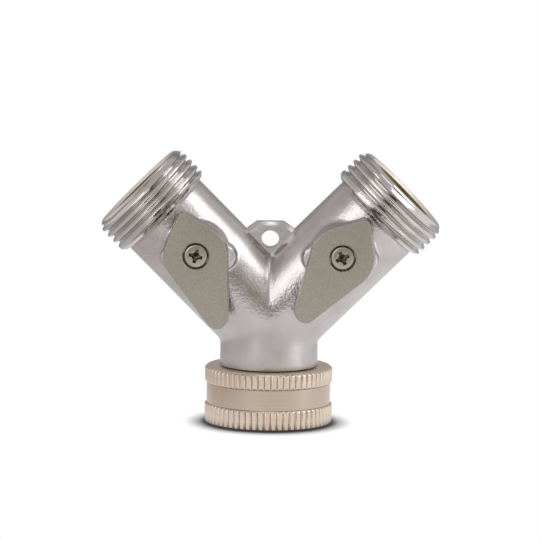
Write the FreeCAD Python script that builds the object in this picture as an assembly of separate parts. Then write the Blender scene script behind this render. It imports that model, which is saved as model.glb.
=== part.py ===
import FreeCAD, Part
import math
import os

from FreeCAD import Vector

# Two-way hose connector with a quarter-turn valve in each arm, in millimetres.
# The origin is the centre of the inlet nut's lower face, +Z runs up the neck,
# the handles face -Y and the outlets lean towards -X and +X.

# Hose thread, G 3/4
thread_crest_diameter = 26.44
thread_depth = 1.16
thread_pitch = 1.814
thread_flank_angle = 27.5
thread_crest_flat = 0.25
thread_turns = 4

# Swivel nut on the inlet
nut_height = 13.5
nut_wall = 1.13
nut_relief = 0.25
nut_lower_band = 4.6
nut_upper_band = 3.8
nut_edge_chamfer = 0.4
nut_lip = 1.6
knurl_count = 62
knurl_stand_out = 0.45
knurl_opening = 0.55
knurl_depth = 0.4

# Hose washer
washer_thickness = 2.8
washer_hole_diameter = 14.0

# Spigot under the neck and the split ring that holds the nut on it
neck_shoulder = 1.8
spigot_wall = 3.25
ring_thickness = 1.2
ring_groove_depth = 0.9
ring_stand_out = 0.95
ring_gap = 3.0
ring_shoulder = 0.7

# Cast body
arm_angle = 45.0
collar_step = 1.8
neck_draft = 0.13
neck_length = 5.87
outlet_wall = 2.61
mouth_depth = 11.0
outlet_collar_cone = 0.7
outlet_end_band = 0.8
outlet_end_chamfer = 0.35

# Hanging tab between the arms
tab_thickness = 4.0
tab_rise = 7.35
tab_top_width = 6.4
tab_shoulder_drop = 1.9
tab_root = 1.6
tab_edge_chamfer = 0.5
tab_hole_diameter = 4.2
tab_hole_drop = 4.1

# Valve in each arm
valve_distance = 24.1
boss_stand_out = 1.8
boss_wall = 0.9
boss_edge_chamfer = 0.4
boss_ear_radius = 3.2
boss_ear_drop = 0.4
inner_ear_direction = 231.0
inner_ear_stand_out = 1.2
outer_ear_direction = 33.0
outer_ear_stand_out = 0.5
back_wall = 3.9
plug_diameter = 12.4
port_diameter = 7.6
stem_diameter = 7.0
stem_square = 5.0
stem_tap_spare = 1.0
seal_width = 1.5
seal_height = 1.6
bonnet_height = 4.0
bonnet_recess = 0.2
gasket_width = 0.9
gasket_thickness = 0.8
seat_diameter = 11.6
seat_wall = 3.05
sleeve_wall = 1.2
sleeve_floor = 2.2
sleeve_recess = 0.6

# Quarter-turn stop: a lug on the bonnet in a curved pocket under the handle
quarter_turn = 90.0
nose_direction = 90.0
stop_lug_radius = 5.2
stop_lug_width = 1.6
stop_lug_half_angle = 14.0
stop_lug_height = 1.4
stop_slack_angle = 1.0

# Handle and its screw
handle_hub_radius = 7.3
handle_nose_reach = 10.4
handle_nose_radius = 1.5
handle_tail_reach = 17.8
handle_tail_radius = 2.45
handle_thickness = 3.2
handle_edge_chamfer = 0.5
handle_floor = 1.6
screw_diameter = 3.0
screw_length = 7.0
screw_head_diameter = 5.6
screw_head_drop = 0.15
screw_head_edge = 0.4
screw_head_clearance = 0.3
recess_span = 3.1
recess_slot = 0.9
recess_depth = 1.0

# How far each handle has been turned from open towards closed
left_handle_turn = 26.2
right_handle_turn = 12.0

# Fits: radial for turning pieces and for pieces fixed together, and gaps between faces
running_fit = 0.05
fixed_fit = 0.03
end_play = 0.15
rub_gap = 0.3

crest_radius = thread_crest_diameter / 2
root_radius = crest_radius - thread_depth
relief_radius = crest_radius + nut_relief
waist_radius = relief_radius + nut_wall
nut_radius = waist_radius + knurl_stand_out
mouth_radius = root_radius - outlet_wall
arm_radius = crest_radius - collar_step
neck_radius = arm_radius + neck_draft
spigot_radius = neck_radius - neck_shoulder
port_radius = port_diameter / 2
seat_radius = seat_diameter / 2
plug_radius = plug_diameter / 2
plug_bore_radius = plug_radius + running_fit
stem_radius = stem_diameter / 2
bonnet_radius = plug_bore_radius + gasket_width
boss_radius = bonnet_radius + fixed_fit + boss_wall

# Levels up the inlet axis
lip_bottom = nut_height - nut_lip
ring_top = lip_bottom - rub_gap
ring_bottom = ring_top - ring_thickness
spigot_end = ring_bottom - ring_shoulder
washer_top = spigot_end - rub_gap
thread_end = washer_top - washer_thickness
neck_bottom = nut_height + rub_gap
lean = math.radians(arm_angle)
junction_height = neck_bottom + neck_length + arm_radius * math.tan(lean / 2)
crotch_height = junction_height + arm_radius / math.sin(lean)
tab_top = crotch_height + tab_rise

# Levels along an arm, from the point where the axes meet
mouth_floor = valve_distance + plug_bore_radius + seat_wall
arm_length = mouth_floor + mouth_depth
flank_length = thread_depth * math.tan(math.radians(thread_flank_angle))
half_crest = thread_crest_flat / 2
last_crest = arm_length - outlet_end_band - flank_length - half_crest
collar_height = last_crest - thread_turns * thread_pitch

# Levels along a valve axis, from the arm's axis to the front
plug_bore_floor = back_wall - arm_radius
boss_top = arm_radius + boss_stand_out
bonnet_top = boss_top - bonnet_recess
bonnet_bottom = bonnet_top - bonnet_height
gasket_bottom = bonnet_bottom - gasket_thickness
plug_front = gasket_bottom - end_play
handle_bottom = boss_top + rub_gap
handle_top = handle_bottom + handle_thickness
handle_seat = handle_bottom + handle_floor
stem_top = handle_seat - end_play
screw_head_top = handle_top - screw_head_drop

x_axis = Vector(1, 0, 0)
y_axis = Vector(0, 1, 0)
z_axis = Vector(0, 0, 1)
centre = Vector(0, 0, 0)


def turned(points):
    """A solid turned about Z from an outline of (radius, height) points."""
    corners = [Vector(radius, 0, height) for radius, height in points]
    outline = Part.makePolygon(corners + corners[:1])
    return Part.Face(outline).revolve(centre, z_axis, 360)


def rod(radius, bottom, top):
    return Part.makeCylinder(radius, top - bottom, Vector(0, 0, bottom))


def block(width, depth, bottom, top):
    corner = Vector(-width / 2, -depth / 2, bottom)
    return Part.makeBox(width, depth, top - bottom, corner)


def sector(inner, outer, start_angle, end_angle, bottom, top):
    """A curved bar about Z, between two radii and two angles."""
    sweep = end_angle - start_angle
    ring = Part.makeCylinder(outer, top - bottom, Vector(0, 0, bottom), z_axis, sweep)
    ring = ring.cut(rod(inner, bottom, top))
    return ring.rotated(centre, z_axis, start_angle)


def to_valve(shape):
    """From a valve's own axis, +Z to the front and +Y to the outlet, to the upright arm."""
    return shape.rotated(centre, x_axis, 90).translated(Vector(0, 0, valve_distance))


def to_arm(shape, side):
    """From the upright arm to the left (-1) or right (1) arm of the connector."""
    return shape.rotated(centre, y_axis, side * arm_angle).translated(Vector(0, 0, junction_height))


def toothed_outline(inset, height):
    """The knurl seen along the axis: flat-topped teeth parted by V grooves."""
    scale = 1 - inset / nut_radius
    pitch = 2 * math.pi / knurl_count
    half_opening = knurl_opening / (2 * nut_radius)

    def corner(angle, radius):
        return Vector(scale * radius * math.cos(angle), scale * radius * math.sin(angle), height)

    corners = []
    for tooth in range(knurl_count):
        groove = tooth * pitch
        corners.append(corner(groove, nut_radius - knurl_depth))
        corners.append(corner(groove + half_opening, nut_radius))
        corners.append(corner(groove + pitch - half_opening, nut_radius))
    return Part.makePolygon(corners + corners[:1])


def knurled_band(levels):
    """A band of teeth through (inset, height) levels."""
    return Part.makeLoft([toothed_outline(inset, height) for inset, height in levels], True, True)


def swivel_nut():
    upper_start = nut_height - nut_upper_band
    waist = rod(waist_radius, nut_lower_band, upper_start)
    lower_band = knurled_band([
        (nut_edge_chamfer, 0),
        (0, nut_edge_chamfer),
        (0, nut_lower_band),
    ])
    upper_band = knurled_band([
        (0, upper_start),
        (0, nut_height - nut_edge_chamfer),
        (nut_edge_chamfer, nut_height),
    ])
    nut = waist.fuse([lower_band, upper_band])
    bore = rod(root_radius, 0, thread_end)
    relief = rod(relief_radius, thread_end, lip_bottom)
    lip_hole = rod(spigot_radius + running_fit, lip_bottom, nut_height)
    return nut.cut([bore, relief, lip_hole]).removeSplitter()


def hose_washer():
    washer = rod(crest_radius, thread_end, washer_top)
    return washer.cut(rod(washer_hole_diameter / 2, thread_end, washer_top))


def retaining_ring():
    inner = spigot_radius - ring_groove_depth + fixed_fit
    outer = spigot_radius + ring_stand_out
    ring = rod(outer, ring_bottom, ring_top).cut(rod(inner, ring_bottom, ring_top))
    gap = Part.makeBox(ring_gap, outer, ring_thickness, Vector(-ring_gap / 2, 0, ring_bottom))
    return ring.cut(gap)


def arm_outside():
    """An upright arm with its outlet, whose thread is drawn as rings of the true pitch and depth."""
    outline = [
        (0, 0),
        (arm_radius, 0),
        (arm_radius, collar_height - half_crest - outlet_collar_cone),
        (crest_radius, collar_height - half_crest),
    ]
    for turn in range(thread_turns):
        crest = collar_height + turn * thread_pitch
        next_crest = crest + thread_pitch
        outline += [
            (crest_radius, crest + half_crest),
            (root_radius, crest + half_crest + flank_length),
            (root_radius, next_crest - half_crest - flank_length),
            (crest_radius, next_crest - half_crest),
        ]
    return turned(outline + [
        (crest_radius, last_crest + half_crest),
        (root_radius, arm_length - outlet_end_band),
        (root_radius, arm_length - outlet_end_chamfer),
        (root_radius - outlet_end_chamfer, arm_length),
        (0, arm_length),
    ])


def boss_outside(side):
    """The boss under a handle, with the two ears that stand out beside it."""
    boss = turned([
        (0, 0),
        (boss_radius, 0),
        (boss_radius, boss_top - boss_edge_chamfer),
        (boss_radius - boss_edge_chamfer, boss_top),
        (0, boss_top),
    ])
    ears = []
    for direction, stand_out in (
        (inner_ear_direction, inner_ear_stand_out),
        (outer_ear_direction, outer_ear_stand_out),
    ):
        ear = rod(boss_ear_radius, 0, boss_top - boss_ear_drop)
        ear.translate(Vector(boss_radius + stand_out - boss_ear_radius, 0, 0))
        ears.append(ear.rotated(centre, z_axis, nose_direction + side * (direction - nose_direction)))
    return to_valve(boss.fuse(ears))


def arm_hollow():
    """The waterway of an upright arm with the pockets for its valve."""
    waterway = rod(port_radius, 0, valve_distance)
    seat_pocket = rod(seat_radius + fixed_fit, valve_distance, mouth_floor)
    mouth = rod(mouth_radius, mouth_floor, arm_length)
    plug_bore = to_valve(rod(plug_bore_radius, plug_bore_floor, gasket_bottom))
    bonnet_bore = to_valve(rod(bonnet_radius + fixed_fit, gasket_bottom, boss_top))
    return waterway.fuse([seat_pocket, mouth, plug_bore, bonnet_bore])


def hanging_tab():
    top_half = tab_top_width / 2
    shoulder = tab_top - tab_shoulder_drop
    shoulder_half = (shoulder - crotch_height) * math.tan(lean) + rub_gap
    root = crotch_height - tab_root
    outline = [
        (-top_half, tab_top),
        (top_half, tab_top),
        (shoulder_half, shoulder),
        (shoulder_half, root),
        (-shoulder_half, root),
        (-shoulder_half, shoulder),
    ]
    corners = [Vector(x, -tab_thickness / 2, z) for x, z in outline]
    tab = Part.Face(Part.makePolygon(corners + corners[:1])).extrude(Vector(0, tab_thickness, 0))
    crown = [
        edge for edge in tab.Edges
        if min(vertex.Z for vertex in edge.Vertexes) >= shoulder - running_fit
        and abs(edge.tangentAt(edge.FirstParameter).y) < running_fit
    ]
    return tab.makeChamfer(tab_edge_chamfer, crown)


def tab_hole():
    start = Vector(0, -tab_thickness, tab_top - tab_hole_drop)
    return Part.makeCylinder(tab_hole_diameter / 2, 2 * tab_thickness, start, y_axis)


def cast_body():
    groove_radius = spigot_radius - ring_groove_depth
    groove_bottom = ring_bottom - fixed_fit
    neck = turned([
        (0, spigot_end),
        (spigot_radius, spigot_end),
        (spigot_radius, groove_bottom),
        (groove_radius, groove_bottom),
        (groove_radius, ring_top + fixed_fit),
        (spigot_radius, ring_top + fixed_fit),
        (spigot_radius, neck_bottom),
        (neck_radius, neck_bottom),
        (arm_radius, junction_height),
        (0, junction_height),
    ])
    outside = [hanging_tab()]
    hollows = [rod(spigot_radius - spigot_wall, spigot_end, junction_height), tab_hole()]
    for side in (-1, 1):
        outside.append(to_arm(arm_outside(), side))
        outside.append(to_arm(boss_outside(side), side))
        hollows.append(to_arm(arm_hollow(), side))
    return neck.fuse(outside).removeSplitter().cut(hollows)


def valve_plug():
    barrel = rod(plug_radius, plug_bore_floor + end_play, plug_front)
    stem = rod(stem_radius, plug_front, handle_bottom - rub_gap)
    square = block(stem_square, stem_square, handle_bottom - rub_gap, stem_top)
    port = Part.makeCylinder(port_radius, plug_diameter, Vector(0, -plug_radius, 0), y_axis)
    tap = rod(screw_diameter / 2 + fixed_fit, handle_seat - screw_length - stem_tap_spare, stem_top)
    return barrel.fuse([stem, square]).cut([port, tap])


def stem_seal():
    top = bonnet_bottom + seal_height
    inner = stem_radius + running_fit
    return rod(inner + seal_width, bonnet_bottom, top).cut(rod(inner, bonnet_bottom, top))


def bonnet_gasket():
    gasket = rod(bonnet_radius, gasket_bottom, bonnet_bottom)
    return gasket.cut(rod(plug_bore_radius, gasket_bottom, bonnet_bottom))


def bonnet(side):
    gland_radius = stem_radius + running_fit + seal_width + fixed_fit
    gland_top = bonnet_bottom + seal_height + fixed_fit
    body = turned([
        (gland_radius, bonnet_bottom),
        (bonnet_radius, bonnet_bottom),
        (bonnet_radius, bonnet_top),
        (stem_radius + running_fit, bonnet_top),
        (stem_radius + running_fit, gland_top),
        (gland_radius, gland_top),
    ])
    middle = nose_direction + side * quarter_turn / 2
    lug = sector(
        stop_lug_radius - stop_lug_width / 2,
        stop_lug_radius + stop_lug_width / 2,
        middle - stop_lug_half_angle,
        middle + stop_lug_half_angle,
        bonnet_top,
        bonnet_top + stop_lug_height,
    )
    return body.fuse(lug)


def outlet_seat():
    """A seal ring whose inner end is hollowed to the plug's barrel."""
    bottom = valve_distance
    ring = rod(seat_radius, bottom, mouth_floor).cut(rod(port_radius, bottom, mouth_floor))
    barrel = to_valve(rod(plug_bore_radius, plug_bore_floor, plug_front))
    return ring.cut(barrel)


def seat_sleeve():
    outer = mouth_radius - fixed_fit
    inner = outer - sleeve_wall
    return turned([
        (port_radius, mouth_floor),
        (outer, mouth_floor),
        (outer, arm_length - sleeve_recess),
        (inner, arm_length - sleeve_recess),
        (inner, mouth_floor + sleeve_floor),
        (port_radius, mouth_floor + sleeve_floor),
    ])


def handle_outline(inset, height):
    """The kite of three rounded corners: nose to +Y, hub at the middle, tail to -Y."""
    nose_y = handle_nose_reach - handle_nose_radius
    tail_y = handle_tail_radius - handle_tail_reach
    nose_tangent = math.asin((handle_hub_radius - handle_nose_radius) / nose_y)
    tail_tangent = math.asin((handle_hub_radius - handle_tail_radius) / tail_y)

    def on_circle(middle_y, radius, angle, side=1):
        reach = radius - inset
        return Vector(side * reach * math.cos(angle), middle_y + reach * math.sin(angle), height)

    nose = [on_circle(nose_y, handle_nose_radius, nose_tangent, side) for side in (1, -1)]
    tail = [on_circle(tail_y, handle_tail_radius, tail_tangent, side) for side in (1, -1)]
    hub_nose = [on_circle(0, handle_hub_radius, nose_tangent, side) for side in (1, -1)]
    hub_tail = [on_circle(0, handle_hub_radius, tail_tangent, side) for side in (1, -1)]
    hub_middle = [on_circle(0, handle_hub_radius, 0, side) for side in (1, -1)]
    nose_end = on_circle(nose_y, handle_nose_radius, math.pi / 2)
    tail_end = on_circle(tail_y, handle_tail_radius, -math.pi / 2)
    return Part.Wire([
        Part.Arc(nose[0], nose_end, nose[1]).toShape(),
        Part.makeLine(nose[1], hub_nose[1]),
        Part.Arc(hub_nose[1], hub_middle[1], hub_tail[1]).toShape(),
        Part.makeLine(hub_tail[1], tail[1]),
        Part.Arc(tail[1], tail_end, tail[0]).toShape(),
        Part.makeLine(tail[0], hub_tail[0]),
        Part.Arc(hub_tail[0], hub_middle[0], hub_nose[0]).toShape(),
        Part.makeLine(hub_nose[0], nose[0]),
    ])


def handle():
    edge_start = handle_top - handle_edge_chamfer
    plate = Part.Face(handle_outline(0, handle_bottom)).extrude(Vector(0, 0, edge_start - handle_bottom))
    rim = Part.makeLoft([handle_outline(0, edge_start), handle_outline(handle_edge_chamfer, handle_top)], True)
    counterbore = rod(screw_head_diameter / 2 + screw_head_clearance, handle_seat, handle_top)
    square = block(stem_square + 2 * fixed_fit, stem_square + 2 * fixed_fit, handle_bottom, handle_seat)
    reach = quarter_turn / 2 + stop_lug_half_angle + stop_slack_angle
    pocket = sector(
        stop_lug_radius - stop_lug_width / 2 - rub_gap,
        stop_lug_radius + stop_lug_width / 2 + rub_gap,
        nose_direction - reach,
        nose_direction + reach,
        handle_bottom,
        bonnet_top + stop_lug_height + rub_gap,
    )
    return plate.fuse(rim).removeSplitter().cut([counterbore, square, pocket])


def handle_screw():
    radius = screw_head_diameter / 2
    point = handle_seat - screw_length
    body = turned([
        (0, point),
        (screw_diameter / 2, point),
        (screw_diameter / 2, handle_seat),
        (radius, handle_seat),
        (radius, screw_head_top - screw_head_edge),
        (radius - screw_head_edge, screw_head_top),
        (0, screw_head_top),
    ])
    floor = screw_head_top - recess_depth
    slots = [
        block(recess_span, recess_slot, floor, screw_head_top),
        block(recess_slot, recess_span, floor, screw_head_top),
    ]
    return body.cut(slots)


def save(name, shape):
    shape.exportStep(f"parts/{name}.step")


os.makedirs("parts", exist_ok=True)
save("cast_body", cast_body())
save("swivel_nut", swivel_nut())
save("hose_washer", hose_washer())
save("retaining_ring", retaining_ring())
for name, side, turn in (("left", -1, left_handle_turn), ("right", 1, right_handle_turn)):
    turning = {
        "valve_plug": valve_plug(),
        "handle": handle(),
        "handle_screw": handle_screw(),
    }
    for piece, shape in turning.items():
        at_rest = shape.rotated(centre, z_axis, side * turn)
        save(f"{name}_{piece}", to_arm(to_valve(at_rest), side))
    save(f"{name}_bonnet", to_arm(to_valve(bonnet(side)), side))
    save(f"{name}_stem_seal", to_arm(to_valve(stem_seal()), side))
    save(f"{name}_bonnet_gasket", to_arm(to_valve(bonnet_gasket()), side))
    save(f"{name}_outlet_seat", to_arm(outlet_seat(), side))
    save(f"{name}_seat_sleeve", to_arm(seat_sleeve(), side))
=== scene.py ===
import bpy
import math
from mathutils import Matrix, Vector


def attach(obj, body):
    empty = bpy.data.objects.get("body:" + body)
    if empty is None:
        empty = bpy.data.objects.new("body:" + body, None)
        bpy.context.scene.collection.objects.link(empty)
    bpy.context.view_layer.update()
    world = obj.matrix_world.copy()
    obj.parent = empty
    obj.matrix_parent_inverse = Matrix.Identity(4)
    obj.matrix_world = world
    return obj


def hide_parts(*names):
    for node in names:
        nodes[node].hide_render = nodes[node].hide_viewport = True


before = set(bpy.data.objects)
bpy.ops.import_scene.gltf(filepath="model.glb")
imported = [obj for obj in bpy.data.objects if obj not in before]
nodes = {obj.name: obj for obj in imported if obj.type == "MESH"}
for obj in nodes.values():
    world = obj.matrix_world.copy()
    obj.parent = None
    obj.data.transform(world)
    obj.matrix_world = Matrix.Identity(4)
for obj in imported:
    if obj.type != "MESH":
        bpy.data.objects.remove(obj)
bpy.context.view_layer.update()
scene = bpy.context.scene
mm = 0.001
sides = {"left": -1, "right": 1}

# the connector's own frame in mm and degrees: the arms lean from the point where the axes meet
layout = {
    "armLean": 45.0,
    "junctionHeight": 24.40,
    "valveDistance": 24.1,
    "handleTurn": {"left": 26.2, "right": 12.0},
}

# what all pieces share: how near counts as the same, in mm, and how finely rounds are drawn
shop = {
    "sameSpot": 0.001,
    "mergeGap": 0.002,
    "sameLevel": 0.01,
    "cornerSteps": 4,
    "roundSteps": 128,
    "boreSteps": 96,
    "smallSteps": 64,
    "smoothFactor": 0.5,
    "crease": 34,  # degrees, past which an edge stays sharp
}


# modelling helpers

def rest():
    if bpy.context.object and bpy.context.object.mode != "OBJECT":
        bpy.ops.object.mode_set(mode="OBJECT")
    bpy.ops.object.select_all(action="DESELECT")


def use(piece):
    rest()
    piece.select_set(True)
    bpy.context.view_layer.objects.active = piece
    return piece


def newest(name):
    piece = bpy.context.object
    piece.name = name
    piece.data.name = name
    return piece


def edit(piece):
    use(piece)
    bpy.ops.object.mode_set(mode="EDIT")
    bpy.ops.mesh.select_mode(type="VERT")
    bpy.ops.mesh.select_all(action="SELECT")


def cleanUp(piece):
    edit(piece)
    bpy.ops.mesh.remove_doubles(threshold=shop["mergeGap"] * mm)
    bpy.ops.mesh.normals_make_consistent(inside=False)
    bpy.ops.object.mode_set(mode="OBJECT")
    return piece


def volume(piece):
    # below zero when the normals point inwards
    piece.data.calc_loop_triangles()
    points = [vertex.co for vertex in piece.data.vertices]
    corners = ([points[i] for i in face.vertices] for face in piece.data.loop_triangles)
    return sum(a.dot(b.cross(c)) for a, b, c in corners) / 6


def applied(piece, kind, **settings):
    use(piece)
    modifier = piece.modifiers.new(kind.title(), kind)
    for key, value in settings.items():
        setattr(modifier, key, value)
    bpy.ops.object.modifier_apply(modifier=modifier.name)
    return piece


def combine(piece, tool, how):
    applied(piece, "BOOLEAN", object=tool, operation=how, solver="MANIFOLD")
    bpy.data.objects.remove(tool)
    return piece


def joined(name, pieces):
    use(pieces[0])
    for piece in pieces:
        piece.select_set(True)
    bpy.ops.object.join()
    return newest(name)


def settle(piece):
    use(piece)
    bpy.ops.object.transform_apply(location=True, rotation=True, scale=True)
    return piece


def toArm(piece, side):
    # from an upright arm to the left (-1) or right (1) arm
    settle(piece)
    piece.rotation_euler = (0, side * math.radians(layout["armLean"]), 0)
    piece.location = (0, 0, layout["junctionHeight"] * mm)
    return settle(piece)


def toValve(piece, side, turn=0.0):
    # from a valve's own axis, +Z to the front and +Y to the outlet, to its arm
    settle(piece)
    piece.rotation_euler = (0, 0, side * math.radians(turn))
    settle(piece)
    piece.rotation_euler = (math.radians(90), 0, 0)
    piece.location = (0, 0, layout["valveDistance"] * mm)
    return toArm(piece, side)


def drawLine(name, points):
    # a chain of edges drawn by extruding one vertex, from (x, y, z) points in mm
    rest()
    bpy.ops.mesh.primitive_plane_add(size=mm)
    piece = newest(name)
    edit(piece)
    bpy.ops.mesh.merge(type="CENTER")
    last = Vector((0, 0, 0))
    for index, point in enumerate(points):
        here = Vector(point) * mm
        if index == 0:
            bpy.ops.transform.translate(value=here)
        else:
            bpy.ops.mesh.extrude_region_move(TRANSFORM_OT_translate={"value": here - last})
        last = here
    bpy.ops.object.mode_set(mode="OBJECT")
    return piece


def turned(name, outline, steps):
    # outline is (radius, height, corner rounding) in mm, spun about Z
    piece = drawLine(name, [(radius, 0, height) for radius, height, soft in outline])
    corners = {}
    for radius, height, soft in outline:
        if soft:
            corners.setdefault(soft, []).append((radius, height))
    for soft, places in corners.items():
        edit(piece)
        bpy.ops.mesh.select_all(action="DESELECT")
        bpy.ops.object.mode_set(mode="OBJECT")
        for vertex in piece.data.vertices:
            for radius, height in places:
                corner = Vector((radius, 0, height)) * mm
                if (vertex.co - corner).length < shop["sameSpot"] * mm:
                    vertex.select = True
        bpy.ops.object.mode_set(mode="EDIT")
        bpy.ops.mesh.bevel(offset=soft * mm, segments=shop["cornerSteps"], affect="VERTICES")
    edit(piece)
    bpy.ops.mesh.spin(steps=steps, angle=math.tau, center=(0, 0, 0), axis=(0, 0, 1))
    return cleanUp(piece)


def rod(name, radius, bottom, top, steps=shop["boreSteps"]):
    rest()
    bpy.ops.mesh.primitive_cylinder_add(
        vertices=steps, radius=radius * mm, depth=(top - bottom) * mm,
        location=(0, 0, (top + bottom) / 2 * mm))
    return settle(newest(name))


def block(name, width, depth, bottom, top):
    rest()
    bpy.ops.mesh.primitive_cube_add(size=1, location=(0, 0, (bottom + top) / 2 * mm))
    piece = newest(name)
    piece.scale = (width * mm, depth * mm, (top - bottom) * mm)
    return settle(piece)


def selectEdges(piece, wanted):
    # in edge mode, so that no edge between two picked ones comes along
    edit(piece)
    bpy.ops.mesh.select_mode(type="EDGE")
    bpy.ops.mesh.select_all(action="DESELECT")
    bpy.ops.object.mode_set(mode="OBJECT")
    points = piece.data.vertices
    for edge in piece.data.edges:
        a, b = (points[i].co / mm for i in edge.vertices)
        edge.select = wanted(a, b)
    bpy.ops.object.mode_set(mode="EDIT")


def soften(piece, angle):
    use(piece)
    bpy.ops.object.shade_smooth_by_angle(angle=math.radians(angle))


def dress(piece, carrier, replaced):
    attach(piece, carrier)
    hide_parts(replaced)


# sizes of the outlet in mm along and across its arm, which its material also reads
outlet = {
    "hiddenBottom": 32.8,
    "hiddenTop": 34.5,
    "hiddenInset": 0.6,
    "collarFoot": 35.35,
    "collarStep": 0.2,
    "collarRadius": 12.4,
    "collarRound": 0.1,
    "collarTop": 36.4,
    "edgeRound": 0.2,
    "end": 44.4,
    "endRadius": 12.1,
    "endRound": 0.35,
    "endDrop": 0.25,
    "endInset": 0.4,
    "lipRound": 0.15,
    "chamfer": 1.75,
    "crestRadius": 13.22,
    "rootRadius": 12.10,
    "pitch": 1.814,
    "flankSlope": 0.52,
    "rootFlat": 0.10,
    "crestRound": 0.07,
    "crestFlare": 3.0,
    "grooveOverrun": 0.35,
    "firstGroove": 36.15,
    "turns": 5.1,
    "runOut": 0.35,  # in turns
    "stepsPerTurn": 144,
}


# materials

def tint(code):
    # sRGB hex to linear
    values = [int(code[i:i + 2], 16) / 255 for i in (1, 3, 5)]
    linear = [v / 12.92 if v <= 0.04045 else ((v + 0.055) / 1.055) ** 2.4 for v in values]
    return (*linear, 1.0)


def addNode(tree, kind, settings=None, **links):
    node = tree.nodes.new(kind)
    for key, value in (settings or {}).items():
        if isinstance(key, str) and key in node.bl_rna.properties:
            setattr(node, key, value)
        else:
            node.inputs[key].default_value = value
    for key, source in links.items():
        key = key.replace("_", " ")
        socket = node.inputs[int(key[1:])] if key[1:].isdigit() else node.inputs[key]
        tree.links.new(source, socket)
    return node


def newMaterial(name):
    material = bpy.data.materials.new(name)
    material.use_nodes = True
    tree = material.node_tree
    shader = tree.nodes["Principled BSDF"]
    place = addNode(tree, "ShaderNodeTexCoord").outputs["Object"]
    return material, tree, shader, place


def patternScale(size):
    # a texture's scale for features of that size in mm, on coordinates in metres
    return 1000.0 / size


def rampOf(tree, source, low, high, start=0.3, end=0.7):
    ramp = addNode(tree, "ShaderNodeValToRGB", Fac=source)
    first, last = ramp.color_ramp.elements
    first.position, last.position = start, end
    first.color, last.color = low, high
    return ramp.outputs["Color"]


def grey(value):
    return (value, value, value, 1.0)


# plated zinc die casting: silver grey with a faint mauve tone and a hammered skin, sizes in mm
castingSkin = {
    "colours": ("#bab4b4", "#c8c2c2"),
    "blotchSize": 6.0,
    "dullHeights": (21.0, 28.0),
    "neckRoughness": 0.36,
    "armRoughness": 0.27,
    "waveSize": 3.2,
    "waveDepth": 0.07,
    "dentSize": 0.6,
    "dentDepth": 0.105,
    "dentHeights": (23.5, 29.5),
    "neckDents": 0.06,  # share of the full depth
    "fadeHeights": (29.0, 38.0),
    "fadedDents": 0.1,
}


def platedZinc():
    skin = castingSkin
    material, tree, shader, place = newMaterial("platedZincCasting")
    shader.inputs["Metallic"].default_value = 1.0
    blotch = addNode(tree, "ShaderNodeTexNoise",
                     {"Scale": patternScale(skin["blotchSize"]), "Detail": 3.0}, Vector=place)
    colour = rampOf(tree, blotch.outputs["Fac"], *map(tint, skin["colours"]))
    tree.links.new(colour, shader.inputs["Base Color"])
    # the neck is duller than the arms
    level = addNode(tree, "ShaderNodeSeparateXYZ", Vector=place)
    start, end = skin["dullHeights"]
    duller = addNode(tree, "ShaderNodeMapRange",
                     {"From Min": start * mm, "From Max": end * mm,
                      "To Min": skin["neckRoughness"], "To Max": skin["armRoughness"]},
                     Value=level.outputs["Z"])
    tree.links.new(duller.outputs["Result"], shader.inputs["Roughness"])
    waves = addNode(tree, "ShaderNodeTexNoise",
                    {"Scale": patternScale(skin["waveSize"]), "Detail": 1.0}, Vector=place)
    wavy = addNode(tree, "ShaderNodeBump", {"Strength": 1.0, "Distance": skin["waveDepth"] * mm},
                   Height=waves.outputs["Fac"])
    # dents above the neck, fading out towards the arms' upper sides and the tab
    dents = addNode(tree, "ShaderNodeTexNoise",
                    {"Scale": patternScale(skin["dentSize"]), "Detail": 2.0}, Vector=place)
    start, end = skin["dentHeights"]
    upward = addNode(tree, "ShaderNodeMapRange",
                     {"From Min": start * mm, "From Max": end * mm, "To Min": skin["neckDents"],
                      "interpolation_type": "SMOOTHSTEP"}, Value=level.outputs["Z"])
    side = addNode(tree, "ShaderNodeMath", {"operation": "ABSOLUTE"}, _0=level.outputs["X"])
    lift = addNode(tree, "ShaderNodeMath", {"operation": "SUBTRACT"},
                   _0=level.outputs["Z"], _1=side.outputs["Value"])
    start, end = skin["fadeHeights"]
    fading = addNode(tree, "ShaderNodeMapRange",
                     {"From Min": start * mm, "From Max": end * mm,
                      "To Min": 1.0, "To Max": skin["fadedDents"],
                      "interpolation_type": "SMOOTHSTEP"}, Value=lift.outputs["Value"])
    held = addNode(tree, "ShaderNodeMath", {"operation": "MULTIPLY"},
                   _0=upward.outputs["Result"], _1=fading.outputs["Result"])
    depth = addNode(tree, "ShaderNodeMath", {"operation": "MULTIPLY"},
                    _0=dents.outputs["Fac"], _1=held.outputs["Value"])
    dented = addNode(tree, "ShaderNodeBump", {"Strength": 1.0, "Distance": skin["dentDepth"] * mm},
                     Height=depth.outputs["Value"], Normal=wavy.outputs["Normal"])
    tree.links.new(dented.outputs["Normal"], shader.inputs["Normal"])
    return material


# plated zinc after the lathe: almost a mirror, its gloss broken by fine turning rings
lathedSkin = {
    "colours": ("#cfcbc8", "#cac5c4"),  # at the thread's root, painted a little lighter against the groove's shade, and at its crest
    "rootShare": 0.05,
    "crestShare": 0.9,
    "ringSize": 0.5,
    "roughness": (0.11, 0.18),
}


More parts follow.
